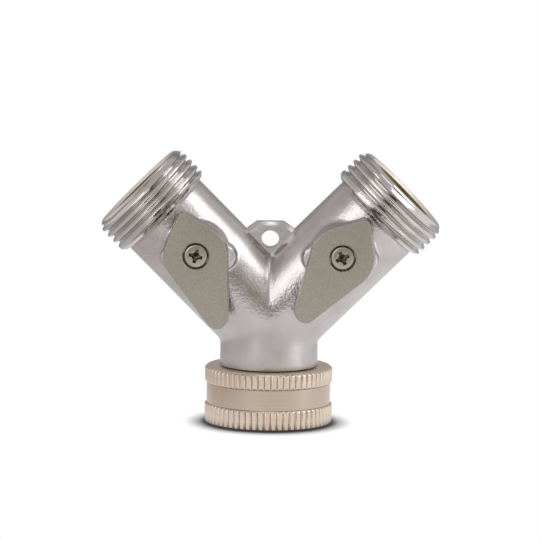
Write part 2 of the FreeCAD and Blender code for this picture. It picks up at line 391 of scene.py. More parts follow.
def turnedZinc():
    skin = lathedSkin
    material, tree, shader, place = newMaterial("turnedZinc")
    shader.inputs["Metallic"].default_value = 1.0
    # how far a spot lies from its arm's axis, and how far out along it
    parts = addNode(tree, "ShaderNodeSeparateXYZ", Vector=place)
    side = addNode(tree, "ShaderNodeMath", {"operation": "ABSOLUTE"}, _0=parts.outputs["X"])
    rise = addNode(tree, "ShaderNodeMath",
                   {"operation": "SUBTRACT", 1: layout["junctionHeight"] * mm},
                   _0=parts.outputs["Z"])
    lift = addNode(tree, "ShaderNodeMath", {"operation": "SUBTRACT"},
                   _0=rise.outputs["Value"], _1=side.outputs["Value"])
    across = addNode(tree, "ShaderNodeMath", {"operation": "MULTIPLY", 1: math.sqrt(0.5)},
                     _0=lift.outputs["Value"])
    offAxis = addNode(tree, "ShaderNodeCombineXYZ", X=across.outputs["Value"], Y=parts.outputs["Y"])
    reach = addNode(tree, "ShaderNodeVectorMath", {"operation": "LENGTH"},
                    _0=offAxis.outputs["Vector"])
    height = addNode(tree, "ShaderNodeMapRange",
                     {"From Min": outlet["rootRadius"] * mm,
                      "From Max": outlet["crestRadius"] * mm}, Value=reach.outputs["Value"])
    # painted light: the root's colour is lighter than the crest's to lift the groove's shade
    colour = rampOf(tree, height.outputs["Result"], *map(tint, skin["colours"]),
                    skin["rootShare"], skin["crestShare"])
    tree.links.new(colour, shader.inputs["Base Color"])
    along = addNode(tree, "ShaderNodeMath", {"operation": "ADD"},
                    _0=rise.outputs["Value"], _1=side.outputs["Value"])
    rings = addNode(tree, "ShaderNodeTexNoise",
                    {"noise_dimensions": "1D", "Scale": patternScale(skin["ringSize"]),
                     "Detail": 1.0}, W=along.outputs["Value"])
    rough = rampOf(tree, rings.outputs["Fac"], *map(grey, skin["roughness"]))
    tree.links.new(rough, shader.inputs["Roughness"])
    return material


# satin nickel on a turned nut: warm beige metal with painted shade darker down in the knurl, dull
# on its top face
nickelSkin = {
    "colours": ("#beae9e", "#d7c7b7"),  # painted shade down in the knurl, and on its teeth
    "wornRadii": (14.55, 15.05),
    "blastedHeights": (13.3, 13.48),
    "blastedMetallic": 0.1,
    "ringSize": 0.4,
    "ringDepth": 0.006,
    "roughness": (0.24, 0.36),
}


def satinNickel():
    skin = nickelSkin
    material, tree, shader, place = newMaterial("satinNickel")
    flat = addNode(tree, "ShaderNodeVectorMath",
                   {"operation": "MULTIPLY", 1: (1.0, 1.0, 0.0)}, _0=place)
    reach = addNode(tree, "ShaderNodeVectorMath", {"operation": "LENGTH"},
                    _0=flat.outputs["Vector"])
    # painted shade: the colour darkens from the teeth in to the waist and the knurl's grooves
    inner, outer = skin["wornRadii"]
    knurlShade = addNode(tree, "ShaderNodeMapRange",
                   {"From Min": inner * mm, "From Max": outer * mm}, Value=reach.outputs["Value"])
    colour = rampOf(tree, knurlShade.outputs["Result"], *map(tint, skin["colours"]), 0.0, 1.0)
    tree.links.new(colour, shader.inputs["Base Color"])
    # the top face is blasted and scatters the light
    parts = addNode(tree, "ShaderNodeSeparateXYZ", Vector=place)
    start, end = skin["blastedHeights"]
    shiny = addNode(tree, "ShaderNodeMapRange",
                    {"From Min": start * mm, "From Max": end * mm,
                     "To Min": 1.0, "To Max": skin["blastedMetallic"]}, Value=parts.outputs["Z"])
    tree.links.new(shiny.outputs["Result"], shader.inputs["Metallic"])
    rings = addNode(tree, "ShaderNodeTexNoise",
                    {"noise_dimensions": "1D", "Scale": patternScale(skin["ringSize"]),
                     "Detail": 3.0}, W=parts.outputs["Z"])
    rough = rampOf(tree, rings.outputs["Fac"], *map(grey, skin["roughness"]))
    tree.links.new(rough, shader.inputs["Roughness"])
    scored = addNode(tree, "ShaderNodeBump", {"Strength": 1.0, "Distance": skin["ringDepth"] * mm},
                     Height=rings.outputs["Fac"])
    tree.links.new(scored.outputs["Normal"], shader.inputs["Normal"])
    return material


# tumbled zinc lever: matt grey-beige with a fine sandy grain, drawn coarser than it is
tumbledSkin = {
    "colours": ("#9e988e", "#aea89d"),
    "grainSize": 0.4,
    "grainDepth": 0.012,
    "roughness": 0.52,
}


def tumbledZinc():
    skin = tumbledSkin
    material, tree, shader, place = newMaterial("tumbledZinc")
    shader.inputs["Metallic"].default_value = 1.0
    grain = addNode(tree, "ShaderNodeTexNoise",
                    {"Scale": patternScale(skin["grainSize"]), "Detail": 4.0}, Vector=place)
    colour = rampOf(tree, grain.outputs["Fac"], *map(tint, skin["colours"]))
    tree.links.new(colour, shader.inputs["Base Color"])
    shader.inputs["Roughness"].default_value = skin["roughness"]
    sandy = addNode(tree, "ShaderNodeBump", {"Strength": 1.0, "Distance": skin["grainDepth"] * mm},
                    Height=grain.outputs["Fac"])
    tree.links.new(sandy.outputs["Normal"], shader.inputs["Normal"])
    return material


# the small pieces: metals with a cloudy wear, rubber and plastic with a mould grain, sizes in mm
plainSkin = {
    "cloudSize": 1.5,
    "wear": 0.06,
    "grainSize": 0.8,
    "grainDepth": 0.01,
}


def plainMetal(name, code, roughness):
    skin = plainSkin
    material, tree, shader, place = newMaterial(name)
    shader.inputs["Metallic"].default_value = 1.0
    shader.inputs["Base Color"].default_value = tint(code)
    cloud = addNode(tree, "ShaderNodeTexNoise",
                    {"Scale": patternScale(skin["cloudSize"]), "Detail": 3.0}, Vector=place)
    rough = rampOf(tree, cloud.outputs["Fac"],
                   grey(roughness - skin["wear"]), grey(roughness + skin["wear"]))
    tree.links.new(rough, shader.inputs["Roughness"])
    return material


def mouldedPlastic(name, dark, light, roughness):
    skin = plainSkin
    material, tree, shader, place = newMaterial(name)
    grain = addNode(tree, "ShaderNodeTexNoise",
                    {"Scale": patternScale(skin["grainSize"]), "Detail": 3.0}, Vector=place)
    colour = rampOf(tree, grain.outputs["Fac"], tint(dark), tint(light))
    tree.links.new(colour, shader.inputs["Base Color"])
    shader.inputs["Roughness"].default_value = roughness
    bumpy = addNode(tree, "ShaderNodeBump", {"Strength": 1.0, "Distance": skin["grainDepth"] * mm},
                    Height=grain.outputs["Fac"])
    tree.links.new(bumpy.outputs["Normal"], shader.inputs["Normal"])
    return material


finishes = {
    "casting": platedZinc(),
    "outlet": turnedZinc(),
    "nut": satinNickel(),
    "lever": tumbledZinc(),
    "bore": plainMetal("boredZinc", "#e2dad0", 0.55),  # drilled, pale and matt
    "screw": plainMetal("nickelPlatedSteel", "#aea697", 0.34),  # warm grey with a soft shine
    "recess": plainMetal("stainedSteel", "#72685a", 0.42),  # painted shade: dark brown in the cross, and dull
    "brass": plainMetal("turnedBrass", "#d2bf92", 0.35),  # pale yellow and satin
    "sleeve": plainMetal("agedBrass", "#94855f", 0.45),  # dull olive brown, painted shade for its place down in the bore
    "springSteel": plainMetal("springSteel", "#8f8f90", 0.35),  # drawn, mid grey and satin
    "rubber": mouldedPlastic("blackRubber", "#191919", "#232322", 0.7),  # moulded and matt
    "seat": mouldedPlastic("whiteSeatPlastic", "#dedcd4", "#ebe9e2", 0.45),  # milky, soft sheen
}
print("materials made:", len(finishes))


def paint(piece, *names):
    piece.data.materials.clear()
    for name in names:
        piece.data.materials.append(finishes[name])


def showFinish(piece, place):
    # every face takes the finish at that place in the piece's list
    for face in piece.data.polygons:
        face.material_index = place


# cast body, in mm and degrees

body = {
    "armRadius": 11.42,
    "armEnd": 35.4,
    "neckRadius": 11.55,
    "neckBottom": 13.8,
    "footTop": 15.3,
    "footInset": 0.03,
    "footTaper": 0.02,
    "footRound": 0.15,
    "footSlopeIn": 0.3,
    "footSlopeUp": 1.0,
    "spigotRadius": 9.75,
    "spigotEnd": 9.7,
    "grooveRadius": 8.85,
    "grooveBottom": 10.37,
    "grooveTop": 11.63,
    "neckBore": 6.5,
    "bossRadius": 7.6,
    "bossTop": 13.22,
    "earRadius": 3.2,
    "earDrop": 0.4,
    "ears": [(231.0, 9.28), (33.0, 8.5)],  # direction round the boss and reach
    "voxel": 0.36,
    "smoothing": 7,
    "neckSmoothing": 160,
    "neckBlend": 4.0,
    "neckBlendReach": 1.5,
    "neckCorner": 10.0,
    "neckCornerShare": 0.12,
    "tabHalfThickness": 2.0,
    "tabTop": 47.90,
    "tabTopHalf": 3.2,
    "tabShoulder": 46.0,
    "tabShoulderHalf": 5.75,
    "tabRoot": 38.95,
    "tabBevel": 0.8,
    "tabHole": 2.1,
    "tabHoleHeight": 43.8,
    "portRadius": 3.8,
    "seatRadius": 5.83,
    "mouthRadius": 9.45,
    "mouthFloor": 33.4,
    "mouthChamfer": 0.8,
    "plugBore": 6.25,
    "plugFloor": -7.52,
    "gasketLevel": 8.22,
    "bonnetBore": 7.18,
    "overrun": 2.0,  # how far a cutter stands out of the metal
    "overlap": 0.5,  # how far it reaches into the next hollow
    "finishes": ("casting", "outlet", "bore"),
}


def hangingTab():
    # a six-sided plate, drawn, filled, pulled to its thickness and chamfered along its upper edges
    half, shoulder = body["tabHalfThickness"], body["tabShoulder"]
    outline = [
        (-body["tabTopHalf"], body["tabTop"]),
        (body["tabTopHalf"], body["tabTop"]),
        (body["tabShoulderHalf"], shoulder),
        (body["tabShoulderHalf"], body["tabRoot"]),
        (-body["tabShoulderHalf"], body["tabRoot"]),
        (-body["tabShoulderHalf"], shoulder),
    ]
    near = shop["sameLevel"]
    plate = drawLine("hangingTab", [(x, -half, z) for x, z in outline])
    edit(plate)
    bpy.ops.mesh.edge_face_add()
    bpy.ops.mesh.extrude_region_move(TRANSFORM_OT_translate={"value": (0, 2 * half * mm, 0)})
    cleanUp(plate)
    selectEdges(plate, lambda a, b: abs(a.y - b.y) < near and min(a.z, b.z) > shoulder - near)
    bpy.ops.mesh.bevel(offset=body["tabBevel"] * mm, segments=1)
    return cleanUp(plate)


def threadedOutlet(name):
    # a blank turned with a chamfered collar and end, then the thread's groove cut round it
    core, crest, end = outlet["rootRadius"], outlet["crestRadius"], outlet["end"]
    hidden = body["armRadius"] - outlet["hiddenInset"]
    foot, step = outlet["collarFoot"], outlet["collarStep"]
    piece = turned(name, [
        (0, outlet["hiddenBottom"], 0),
        (hidden, outlet["hiddenBottom"], 0),
        (hidden, outlet["hiddenTop"], 0),
        (body["armRadius"] + step, foot, 0),
        (outlet["collarRadius"], foot + step, outlet["collarRound"]),
        (crest, outlet["collarTop"], outlet["edgeRound"]),
        (crest, end - outlet["chamfer"], outlet["edgeRound"]),
        (outlet["endRadius"], end - outlet["endDrop"], outlet["endRound"]),
        (outlet["endRadius"] - outlet["endInset"], end, outlet["lipRound"]),
        (0, end, 0),
    ], outlet["stepsPerTurn"])
    soft, slope = outlet["crestRound"], outlet["flankSlope"]
    outside = crest + outlet["grooveOverrun"]
    rootHalf = outlet["rootFlat"] / 2
    flankHalf = rootHalf + slope * (crest - soft - core)
    openHalf = flankHalf + outlet["crestFlare"] * slope * soft
    outline = [
        (core, 0, -rootHalf),
        (core, 0, rootHalf),
        (crest - soft, 0, flankHalf),
        (crest, 0, openHalf),
        (outside, 0, openHalf),
        (outside, 0, -openHalf),
        (crest, 0, -openHalf),
        (crest - soft, 0, -flankHalf),
    ]
    groove = drawLine(name + "Groove", outline)
    edit(groove)
    bpy.ops.mesh.select_all(action="DESELECT")
    bpy.ops.object.mode_set(mode="OBJECT")
    groove.data.vertices[0].select = True
    groove.data.vertices[len(outline) - 1].select = True
    bpy.ops.object.mode_set(mode="EDIT")
    bpy.ops.mesh.edge_face_add()
    bpy.ops.object.mode_set(mode="OBJECT")
    turns = outlet["turns"]
    steps = int(turns * outlet["stepsPerTurn"])
    applied(groove, "SCREW", axis="Z", angle=turns * math.tau,
            screw_offset=turns * outlet["pitch"] * mm,
            steps=steps, render_steps=steps, use_merge_vertices=False)
    # the groove runs out towards the collar: its first steps rise out of the blank
    for vertex in groove.data.vertices:
        turn = (vertex.index // len(outline)) / outlet["stepsPerTurn"]
        lift = max(0.0, 1 - turn / outlet["runOut"]) * (outside - core)
        grow = 1 + lift * mm / math.hypot(vertex.co.x, vertex.co.y)
        vertex.co.x *= grow
        vertex.co.y *= grow
    groove.rotation_euler.z = math.pi
    groove.location = (0, 0, outlet["firstGroove"] * mm)
    settle(groove)
    edit(groove)
    bpy.ops.mesh.fill_holes(sides=0)
    cleanUp(groove)
    if volume(groove) < 0:
        edit(groove)
        bpy.ops.mesh.flip_normals()  # recalculating can leave a winding piece inside out
    return combine(piece, groove, "DIFFERENCE")


def outletMouth():
    # the wide end of the waterway, with its lead-in chamfer
    radius, chamfer = body["mouthRadius"], body["mouthChamfer"]
    floor, end = body["mouthFloor"], outlet["end"]
    return turned("mouth", [
        (0, floor, 0),
        (radius, floor, 0),
        (radius, end - chamfer, 0),
        (radius + chamfer, end, 0),
        (radius + chamfer, end + body["overrun"], 0),
        (0, end + body["overrun"], 0),
    ], outlet["stepsPerTurn"])


def bossEars(side):
    # two low ears beside each boss, mirrored from arm to arm
    ears = []
    top = body["bossTop"] - body["earDrop"]
    for direction, reach in body["ears"]:
        ear = rod("ear", body["earRadius"], 0, top, shop["smallSteps"])
        ear.location.x = (reach - body["earRadius"]) * mm
        settle(ear)
        ear.rotation_euler.z = math.radians(90 + side * (direction - 90))
        ears.append(toValve(ear, side))
    return ears


def smoothed(piece, name, iterations, weigh):
    # smoothing held to a vertex group, weighed from each vertex's place in mm
    group = piece.vertex_groups.new(name=name)
    for vertex in piece.data.vertices:
        weight = weigh(*(vertex.co / mm))
        if weight > 0:
            group.add([vertex.index], min(weight, 1.0), "REPLACE")
    applied(piece, "SMOOTH", factor=shop["smoothFactor"], iterations=iterations,
            vertex_group=name)
    piece.vertex_groups.clear()


def nearNeckBend(x, y, z):
    # strongest in the plane in which the neck meets the arms, and weak at its outer corners
    bend = layout["junctionHeight"] - abs(x) * math.tan(math.radians(layout["armLean"] / 2))
    near = body["neckBlendReach"] - abs(z - bend) / body["neckBlend"]
    inward = (body["neckCorner"] - abs(x)) / body["neckBlend"]
    return min(near, max(inward, body["neckCornerShare"]))


def neckFoot():
    # gives the neck its crisp lower edge, just inside the neck's own surface so that no lip shows
    radius = body["neckRadius"] - body["footInset"]
    bottom, top = body["neckBottom"], body["footTop"]
    return turned("neckFoot", [
        (0, bottom, 0),
        (radius, bottom, body["footRound"]),
        (radius - body["footTaper"], top, 0),
        (radius - body["footSlopeIn"], top + body["footSlopeUp"], 0),
        (0, top + body["footSlopeUp"], 0),
    ], shop["roundSteps"])


def blendedCasting():
    # neck, arms, bosses and ears melted into one skin
    steps = shop["roundSteps"]
    neck = turned("neck", [
        (0, body["spigotEnd"], 0),
        (body["spigotRadius"], body["spigotEnd"], 0),
        (body["spigotRadius"], body["neckBottom"], 0),
        (body["neckRadius"], body["neckBottom"], 0),
        (body["armRadius"], layout["junctionHeight"], 0),
        (0, layout["junctionHeight"], 0),
    ], steps)
    pieces = [neck]
    for side in sides.values():
        pieces.append(toArm(rod("arm", body["armRadius"], 0, body["armEnd"], steps), side))
        pieces.append(toValve(rod("boss", body["bossRadius"], 0, body["bossTop"], steps), side))
        pieces += bossEars(side)
    piece = joined("castBody", pieces)
    applied(piece, "REMESH", mode="VOXEL", voxel_size=body["voxel"] * mm)
    applied(piece, "SMOOTH", factor=shop["smoothFactor"], iterations=body["smoothing"])
    smoothed(piece, "neckBend", body["neckSmoothing"], nearNeckBend)
    print("cast body blended:", len(piece.data.polygons), "faces")
    return piece


def castingHollows():
    # what the lathe and the drills take out: ring groove, tab hole, waterway and valve bores
    overrun, overlap = body["overrun"], body["overlap"]
    outside = body["spigotRadius"] + overrun
    groove = turned("ringGroove", [
        (body["grooveRadius"], body["grooveBottom"], 0),
        (outside, body["grooveBottom"], 0),
        (outside, body["grooveTop"], 0),
        (body["grooveRadius"], body["grooveTop"], 0),
        (body["grooveRadius"], body["grooveBottom"], 0),
    ], shop["roundSteps"])
    depth = body["tabHalfThickness"] + overrun
    hole = rod("tabHole", body["tabHole"], -depth, depth, shop["smallSteps"])
    hole.rotation_euler = (math.radians(90), 0, 0)
    hole.location = (0, 0, body["tabHoleHeight"] * mm)
    settle(hole)
    junction, valve = layout["junctionHeight"], layout["valveDistance"]
    bore = rod("neckBore", body["neckBore"], body["spigotEnd"] - overrun, junction)
    hollows = [groove, hole, bore]
    alongArm = (
        ("waterway", "portRadius", 0, valve),
        ("seatPocket", "seatRadius", valve, body["mouthFloor"] + overlap),
    )
    acrossArm = (
        ("plugBore", "plugBore", body["plugFloor"], body["gasketLevel"] + overlap),
        ("bonnetBore", "bonnetBore", body["gasketLevel"], body["bossTop"] + overrun),
    )
    for side in sides.values():
        for name, radius, start, end in alongArm:
            hollows.append(toArm(rod(name, body[radius], start, end), side))
        hollows.append(toArm(outletMouth(), side))
        for name, radius, start, end in acrossArm:
            hollows.append(toValve(rod(name, body[radius], start, end), side))
    return hollows


def castBody():
    piece = blendedCasting()
    paint(piece, *body["finishes"])
    casting, lathed, bored = range(len(body["finishes"]))
    added = [(hangingTab(), casting), (neckFoot(), casting)]
    for name, side in sides.items():
        added.append((toArm(threadedOutlet(name + "Outlet"), side), lathed))
    for part, finish in added:
        paint(part, *body["finishes"])
        showFinish(part, finish)
        combine(piece, part, "UNION")
    for tool in castingHollows():
        paint(tool, *body["finishes"])
        showFinish(tool, bored)
        combine(piece, tool, "DIFFERENCE")
    cleanUp(piece)
    soften(piece, shop["crease"])
    print("cast body done:", len(piece.data.polygons), "faces")
    dress(piece, "connector_body", "cast_body")


castBody()


# swivel nut, in mm

nut = {
    "height": 13.5,
    "lowerBand": 4.95,
    "upperBand": 3.8,
    "waistRadius": 14.60,
    "radius": 15.05,
    "edge": 0.5,
    "edgeSteps": (0.0, 0.08, 0.25, 0.5, 1.0),
    "edgeCurve": 1.6,
    "teeth": 62,
    "toothSteps": 8,
    "grooveOpening": 0.56,
    "grooveDepth": 0.34,
    "boreRadius": 12.06,
    "threadEnd": 6.6,
    "threadDepth": 0.85,
    "threadStart": 0.6,  # in pitches
    "grooves": 3,
    "grooveHalf": 0.6,
    "grooveFloor": 0.15,  # share of the groove's width
    "reliefRadius": 13.47,
    "lipBottom": 11.9,
    "lipHole": 9.8,
    "crease": 30,
}


def nutReach(height):
    # the turned outline under the knurl: two bands with rounded ends
    lower, upper = nut["lowerBand"], nut["height"] - nut["upperBand"]
    if lower < height < upper:
        return nut["waistRadius"]
    start, end = (0, lower) if height <= lower else (upper, nut["height"])
    inward = min(height - start, end - height)
    rounding = max(0.0, 1 - inward / nut["edge"]) ** nut["edgeCurve"]
    return nut["radius"] - nut["edge"] * rounding


def knurlDrop(angle):
    # how far the V groove goes in at that angle
    pitch = math.tau / nut["teeth"]
    across = ((angle / pitch + 0.5) % 1 - 0.5) * pitch * nut["radius"]
    return nut["grooveDepth"] * max(0.0, 1 - abs(across) / (nut["grooveOpening"] / 2))


def nutOutline():
    # up the outside ring by ring, over the lip and down the inside
    lower, upper, step = nut["lowerBand"], nut["height"] - nut["upperBand"], shop["sameLevel"]
    ends = [share * nut["edge"] for share in nut["edgeSteps"]]
    levels = ends + [lower - e for e in reversed(ends)] + [lower + step, upper - step]
    levels += [upper + e for e in ends] + [nut["height"] - e for e in reversed(ends)]
    path = [(nutReach(z), z) for z in levels]
    path += [(nut["lipHole"], nut["height"]), (nut["lipHole"], nut["lipBottom"]),
             (nut["reliefRadius"], nut["lipBottom"]), (nut["reliefRadius"], nut["threadEnd"]),
             (nut["boreRadius"], nut["threadEnd"])]
    # the thread inside, as V grooves of its pitch
    half = nut["grooveHalf"]
    floorHalf = nut["grooveFloor"] * half
    inner, outer = nut["boreRadius"], nut["boreRadius"] + nut["threadDepth"]
    for turn in range(nut["grooves"]):
        middle = nut["threadEnd"] - (turn + nut["threadStart"]) * outlet["pitch"]
        path += [(inner, middle + half), (outer, middle + floorHalf),
                 (outer, middle - floorHalf), (inner, middle - half)]
    return path + [(inner, nut["edge"]), (inner + nut["edge"], 0.0)]


def swivelNut():
    rest()
    reach, level = nut["boreRadius"] + nut["edge"], 0.0
    bpy.ops.mesh.primitive_circle_add(vertices=nut["teeth"] * nut["toothSteps"], radius=reach * mm)
    piece = newest("swivelNut")
    edit(piece)
    for radius, height in nutOutline():
        bpy.ops.mesh.extrude_edges_move()
        bpy.ops.transform.resize(value=(radius / reach, radius / reach, 1))
        bpy.ops.transform.translate(value=(0, 0, (height - level) * mm))
        reach, level = radius, height
    bpy.ops.object.mode_set(mode="OBJECT")
    # the knurl: what stands out past a groove is pressed in to it
    for vertex in piece.data.vertices:
        radius = math.hypot(vertex.co.x, vertex.co.y)
        floor = (nut["radius"] - knurlDrop(math.atan2(vertex.co.y, vertex.co.x))) * mm
        if radius > floor:
            vertex.co.x *= floor / radius
            vertex.co.y *= floor / radius
    cleanUp(piece)
    paint(piece, "nut")
    soften(piece, nut["crease"])
    print("swivel nut done:", len(piece.data.polygons), "faces")
    dress(piece, "inlet_swivel", "swivel_nut")


swivelNut()


# levers and their screws, in mm and degrees, heights from the arm's axis

lever = {
    "hubRadius": 7.3,
    "noseReach": 10.4,
    "noseRadius": 1.5,
    "tailReach": 17.8,
    "tailRadius": 2.45,
    "roundSteps": {"hub": 120, "nose": 48, "tail": 60},
    "bottom": 13.52,
    "top": 16.72,
    "edge": 0.18,
    "edgeSteps": 3,
    "draft": 0.35,
    "flatAngle": 1.0,
    "squareHole": 5.06,
    "squareBottom": 11.02,
    "squareTop": 15.22,
    "pocketInner": 4.1,
    "pocketOuter": 6.3,
    "pocketReach": 60.0,
    "pocketTop": 14.72,
    "pocketSteps": 40,
    "counterbore": 3.1,
    "seat": 15.12,
    "seatRound": 0.15,
    "countersink": 0.22,
    "overrun": 1.0,
    "uprightBelow": 0.5,  # a side face's normal rises less than this
}


def stopPocket():
    # the curved pocket under the lever, in which the bonnet's stop lug runs
    inner, outer = lever["pocketInner"], lever["pocketOuter"]
    reach = math.radians(lever["pocketReach"])
    bottom, top = lever["bottom"] - lever["overrun"], lever["pocketTop"]
    piece = drawLine("stopPocket", [
        (inner, 0, bottom),
        (outer, 0, bottom),
        (outer, 0, top),
        (inner, 0, top),
    ])
    edit(piece)
    bpy.ops.mesh.edge_face_add()
    bpy.ops.mesh.spin(steps=lever["pocketSteps"], angle=2 * reach, center=(0, 0, 0), axis=(0, 0, 1))
    bpy.ops.mesh.select_all(action="SELECT")
    bpy.ops.mesh.fill_holes(sides=0)
    cleanUp(piece)
    piece.rotation_euler.z = math.radians(90) - reach
    return settle(piece)


def screwPit():
    # the counterbore for the screw's head, its edge broken by a small countersink
    radius, seat, top, sink = (lever[key] for key in ("counterbore", "seat", "top", "countersink"))
    return turned("pit", [
        (0, seat, 0),
        (radius, seat, lever["seatRound"]),
        (radius, top - sink, 0),
        (radius + sink, top + shop["sameSpot"], 0),
        (radius + sink, top + lever["overrun"], 0),
        (0, top + lever["overrun"], 0),
    ], shop["boreSteps"])


def leverPlate(name, side, turn):
    # three rounds at the foot and three smaller ones on top, stretched over by one skin
    rounds = {
        "hub": (lever["hubRadius"], 0.0),
        "nose": (lever["noseRadius"], lever["noseReach"] - lever["noseRadius"]),
        "tail": (lever["tailRadius"], lever["tailRadius"] - lever["tailReach"]),
    }
    made = []
    for level, spread in ((lever["bottom"], lever["draft"]), (lever["top"], 0.0)):
        for part, (radius, y) in rounds.items():
            rest()
            bpy.ops.mesh.primitive_circle_add(
                vertices=lever["roundSteps"][part], radius=(radius + spread) * mm,
                location=(0, y * mm, level * mm))
            made.append(settle(newest("round")))
    piece = joined(name, made)
    edit(piece)
    bpy.ops.mesh.convex_hull()
    bpy.ops.mesh.select_all(action="SELECT")
    bpy.ops.mesh.dissolve_limited(angle_limit=math.radians(lever["flatAngle"]))
    cleanUp(piece)
    selectEdges(piece, lambda a, b: min(a.z, b.z) > lever["top"] - shop["sameLevel"])
    bpy.ops.mesh.bevel(offset=lever["edge"] * mm, segments=lever["edgeSteps"])
    cleanUp(piece)
    width = lever["squareHole"]
    square = block("squareHole", width, width, lever["squareBottom"], lever["squareTop"])
    for tool in (screwPit(), square, stopPocket()):
        combine(piece, tool, "DIFFERENCE")
    # the sides keep the casting's shine
    paint(piece, "lever", "casting")
    for face in piece.data.polygons:
        upright = abs(face.normal.z) < lever["uprightBelow"]
        if upright and math.hypot(face.center.x, face.center.y) > lever["pocketOuter"] * mm:
            face.material_index = 1
    soften(piece, shop["crease"])
    return toValve(piece, side, turn)


screw = {
    "shankRadius": 1.5,
    "shankRound": 0.2,
    "length": 7.0,
    "headRadius": 2.8,
    "headTop": 16.57,
    "headFlatInset": 1.1,
    "headFlatRound": 0.3,
    "headFall": 0.1,
    "rim": 0.55,
    "steps": 72,
    "recessReach": 1.66,
    "recessWidth": 0.84,
    "recessDepth": 1.3,
    "recessTaper": (0.75, 0.8, 1.0),
    "middleRadius": 1.34,
    "middleTaper": 0.65,
    "middleTip": 0.4,
    "overrun": 0.2,
    "crossTurn": {"left": -32.8, "right": 57.0},
}


def crossRecess():
    # two tapered wings and a four-sided point between them
    top, floor = screw["headTop"], screw["headTop"] - screw["recessDepth"]
    outside = top + screw["overrun"]
    tools = []
    for wingTurn in (0, 90):
        wing = block("wing", 2 * screw["recessReach"], screw["recessWidth"], floor, outside)
        selectEdges(wing, lambda a, b: max(a.z, b.z) < floor + shop["sameLevel"])
        bpy.ops.transform.resize(value=screw["recessTaper"])
        bpy.ops.object.mode_set(mode="OBJECT")
        wing.rotation_euler = (0, 0, math.radians(wingTurn))
        tools.append(settle(wing))
    radius = screw["middleRadius"]
    middle = turned("middle", [
        (0, floor - screw["middleTip"], 0),
        (screw["middleTaper"] * radius, floor, 0),
        (radius, top + shop["sameSpot"], 0),
        (radius, outside, 0),
        (0, outside, 0),
    ], 4)
    return tools + [middle]


def leverScrew(name, side, turn, crossTurn):
    seat, top, end = lever["seat"], screw["headTop"], lever["seat"] - screw["length"]
    piece = turned(name, [
        (0, end, 0),
        (screw["shankRadius"], end, screw["shankRound"]),
        (screw["shankRadius"], seat, 0),
        (screw["headRadius"], seat, 0),
        (screw["headRadius"], top - screw["headFall"], screw["rim"]),
        (screw["headRadius"] - screw["headFlatInset"], top, screw["headFlatRound"]),
        (0, top, 0),
    ], screw["steps"])
    paint(piece, "screw", "recess")
    # the cross takes the recess finish, whose dark brown is painted shade
    for tool in crossRecess():
        tool.rotation_euler = (0, 0, math.radians(crossTurn))
        paint(tool, "screw", "recess")
        showFinish(tool, 1)
        combine(piece, settle(tool), "DIFFERENCE")
    soften(piece, shop["crease"])
    return toValve(piece, side, turn)


for name, side in sides.items():
    turn = layout["handleTurn"][name]
    plate = leverPlate(name + "Lever", side, turn)
    dress(plate, name + "_valve", name + "_handle")
    bolt = leverScrew(name + "LeverScrew", side, turn, screw["crossTurn"][name])
    dress(bolt, name + "_valve", name + "_handle_screw")
print("levers and screws done")


# pieces that stay as the frame has them

kept = {
    "hose_washer": "rubber",
    "retaining_ring": "springSteel",
    "valve_plug": "brass",
    "bonnet": "brass",
    "bonnet_gasket": "rubber",
    "stem_seal": "rubber",
    "outlet_seat": "seat",
    # the sleeve's dull olive brown is painted shade for the bore
    "seat_sleeve": "sleeve",
}
painted = 0
for nodeName, node in nodes.items():
    kind = nodeName.replace("left_", "").replace("right_", "")
    if kind in kept:
        paint(node, kept[kind])
        painted += 1
print("pieces kept from the frame:", painted)


# floor, light and camera

studio = {
    "floorSize": 900.0,
    "floorDrop": 0.02,
    "floorColour": "#f4f3f2",
    "shadowColour": "#4c4a49",
    "shadowReach": 6.0,
    "shadowRange": (0.57, 0.97),
    "shadowSamples": 24,
    "skyLevel": 0.8,
    # where the metal mirrors the paper dimmer: axis, start and end in mm, colour
    "paperDims": {
        "left": ("X", -15.0, -75.0, "#d0cbc8"),
        "front": ("Y", -220.0, -340.0, "#c8c5b8"),
        "back": ("Y", 40.0, 260.0, "#b3b0b0"),
    },
    # what the metal mirrors of the room: direction, outer and inner half angle in degrees, colour
    "room": {
        "darkRoom": ((-0.17, -0.98, 0.08), 14.0, 11.0, "#2c2f27"),
        "dimRoom": ((0.34, -0.91, 0.21), 30.0, 20.0, "#c8c7b9"),
        "darkGap": ((0.34, -0.91, 0.22), 12.0, 4.0, "#808175"),
        "backWall": ((0.0, 0.98, 0.2), 45.0, 20.0, "#b3b0b0"),
        "ceiling": ((0.0, 0.2, 1.0), 75.0, 35.0, "#cbc9ca"),
        "leftWall": ((-0.9, 0.4, 0.1), 75.0, 25.0, "#eeebe9"),
    },
    # direction, distance, width and height in mm, watts, height aimed at in mm
    "lamps": {
        "rightBox": ((0.758, -0.12, 0.635), 600, 370, 330, 0.68, 36),
        "leftBox": ((-0.595, -0.665, 0.45), 700, 460, 430, 0.70, 36),
        "topBox": ((0.0, -0.13, 0.99), 600, 160, 160, 0.2, 36),
        "rightCard": ((0.92, -0.37, 0.03), 110, 46, 44, 0.0042, 12),
        "leftCard": ((-0.34, -0.94, 0.03), 110, 80, 44, 0.0028, 12),
    },
    # distance, target and clipping in mm, angles in degrees
    "camera": {"distance": 1000.0, "elevation": 7.76, "yaw": 0.78, "roll": 0.75, "lens": 282.7,
               "sensor": 36.0, "clipStart": 50.0, "target": (0.02, 0.0, 36.25)},
}


def seenRays(tree):
    # 1 for rays from the camera, a mirror or a glass
    path = addNode(tree, "ShaderNodeLightPath")
    seen = addNode(tree, "ShaderNodeMath", {"operation": "MAXIMUM"},
                   _0=path.outputs["Is Camera Ray"], _1=path.outputs["Is Glossy Ray"])
    seen = addNode(tree, "ShaderNodeMath", {"operation": "MAXIMUM"},
                   _0=seen.outputs["Value"], _1=path.outputs["Is Transmission Ray"])
    return path, seen.outputs["Value"]


